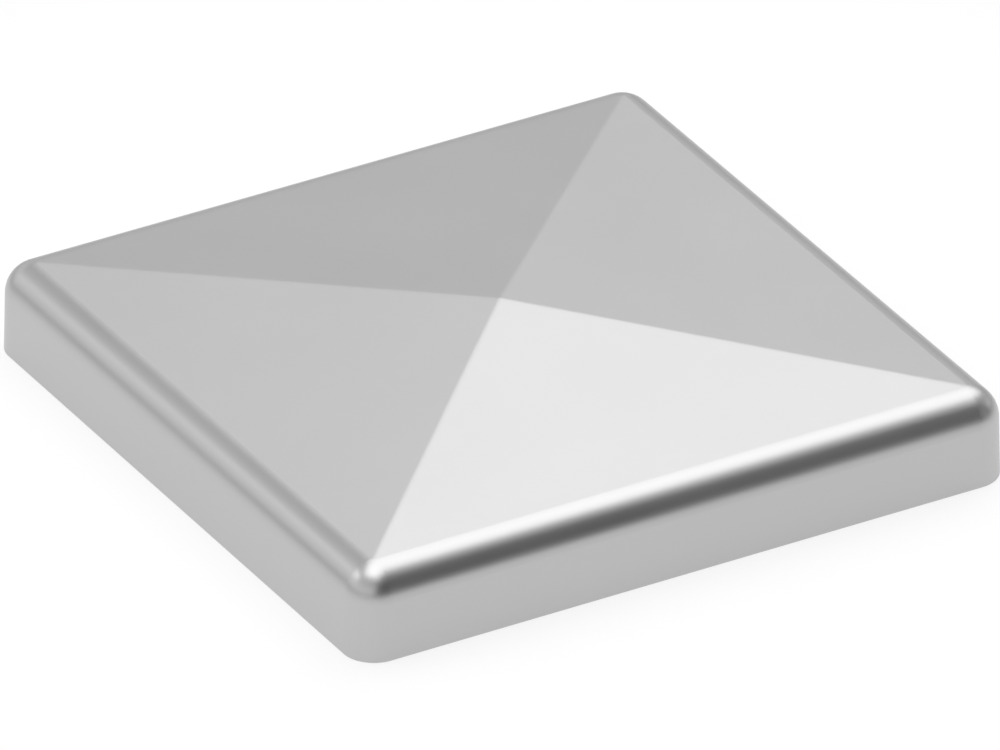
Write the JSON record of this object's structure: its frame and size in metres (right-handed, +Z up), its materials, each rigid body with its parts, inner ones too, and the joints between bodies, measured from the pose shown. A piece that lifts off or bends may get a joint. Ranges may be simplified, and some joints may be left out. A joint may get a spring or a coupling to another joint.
{
  "type": "post cap",
  "caption": "Square cast aluminium cap with a low pyramid roof, rounded edges and an open underside, which slides over the top end of a square post.",
  "frame": {"origin": "centre of the open mouth, on the plane of the rim", "axes": "+Z up along the post's axis, through the point of the roof; X and Y square to the skirt's walls"},
  "size_m": [0.107, 0.107, 0.0185],
  "materials": {
    "satin_aluminium": "fine satin, even and matt enough to blur reflections, bare metal inside and out"
  },
  "bodies": {
    "root": {"post_cap": "satin_aluminium"}
  },
  "joints": []
}
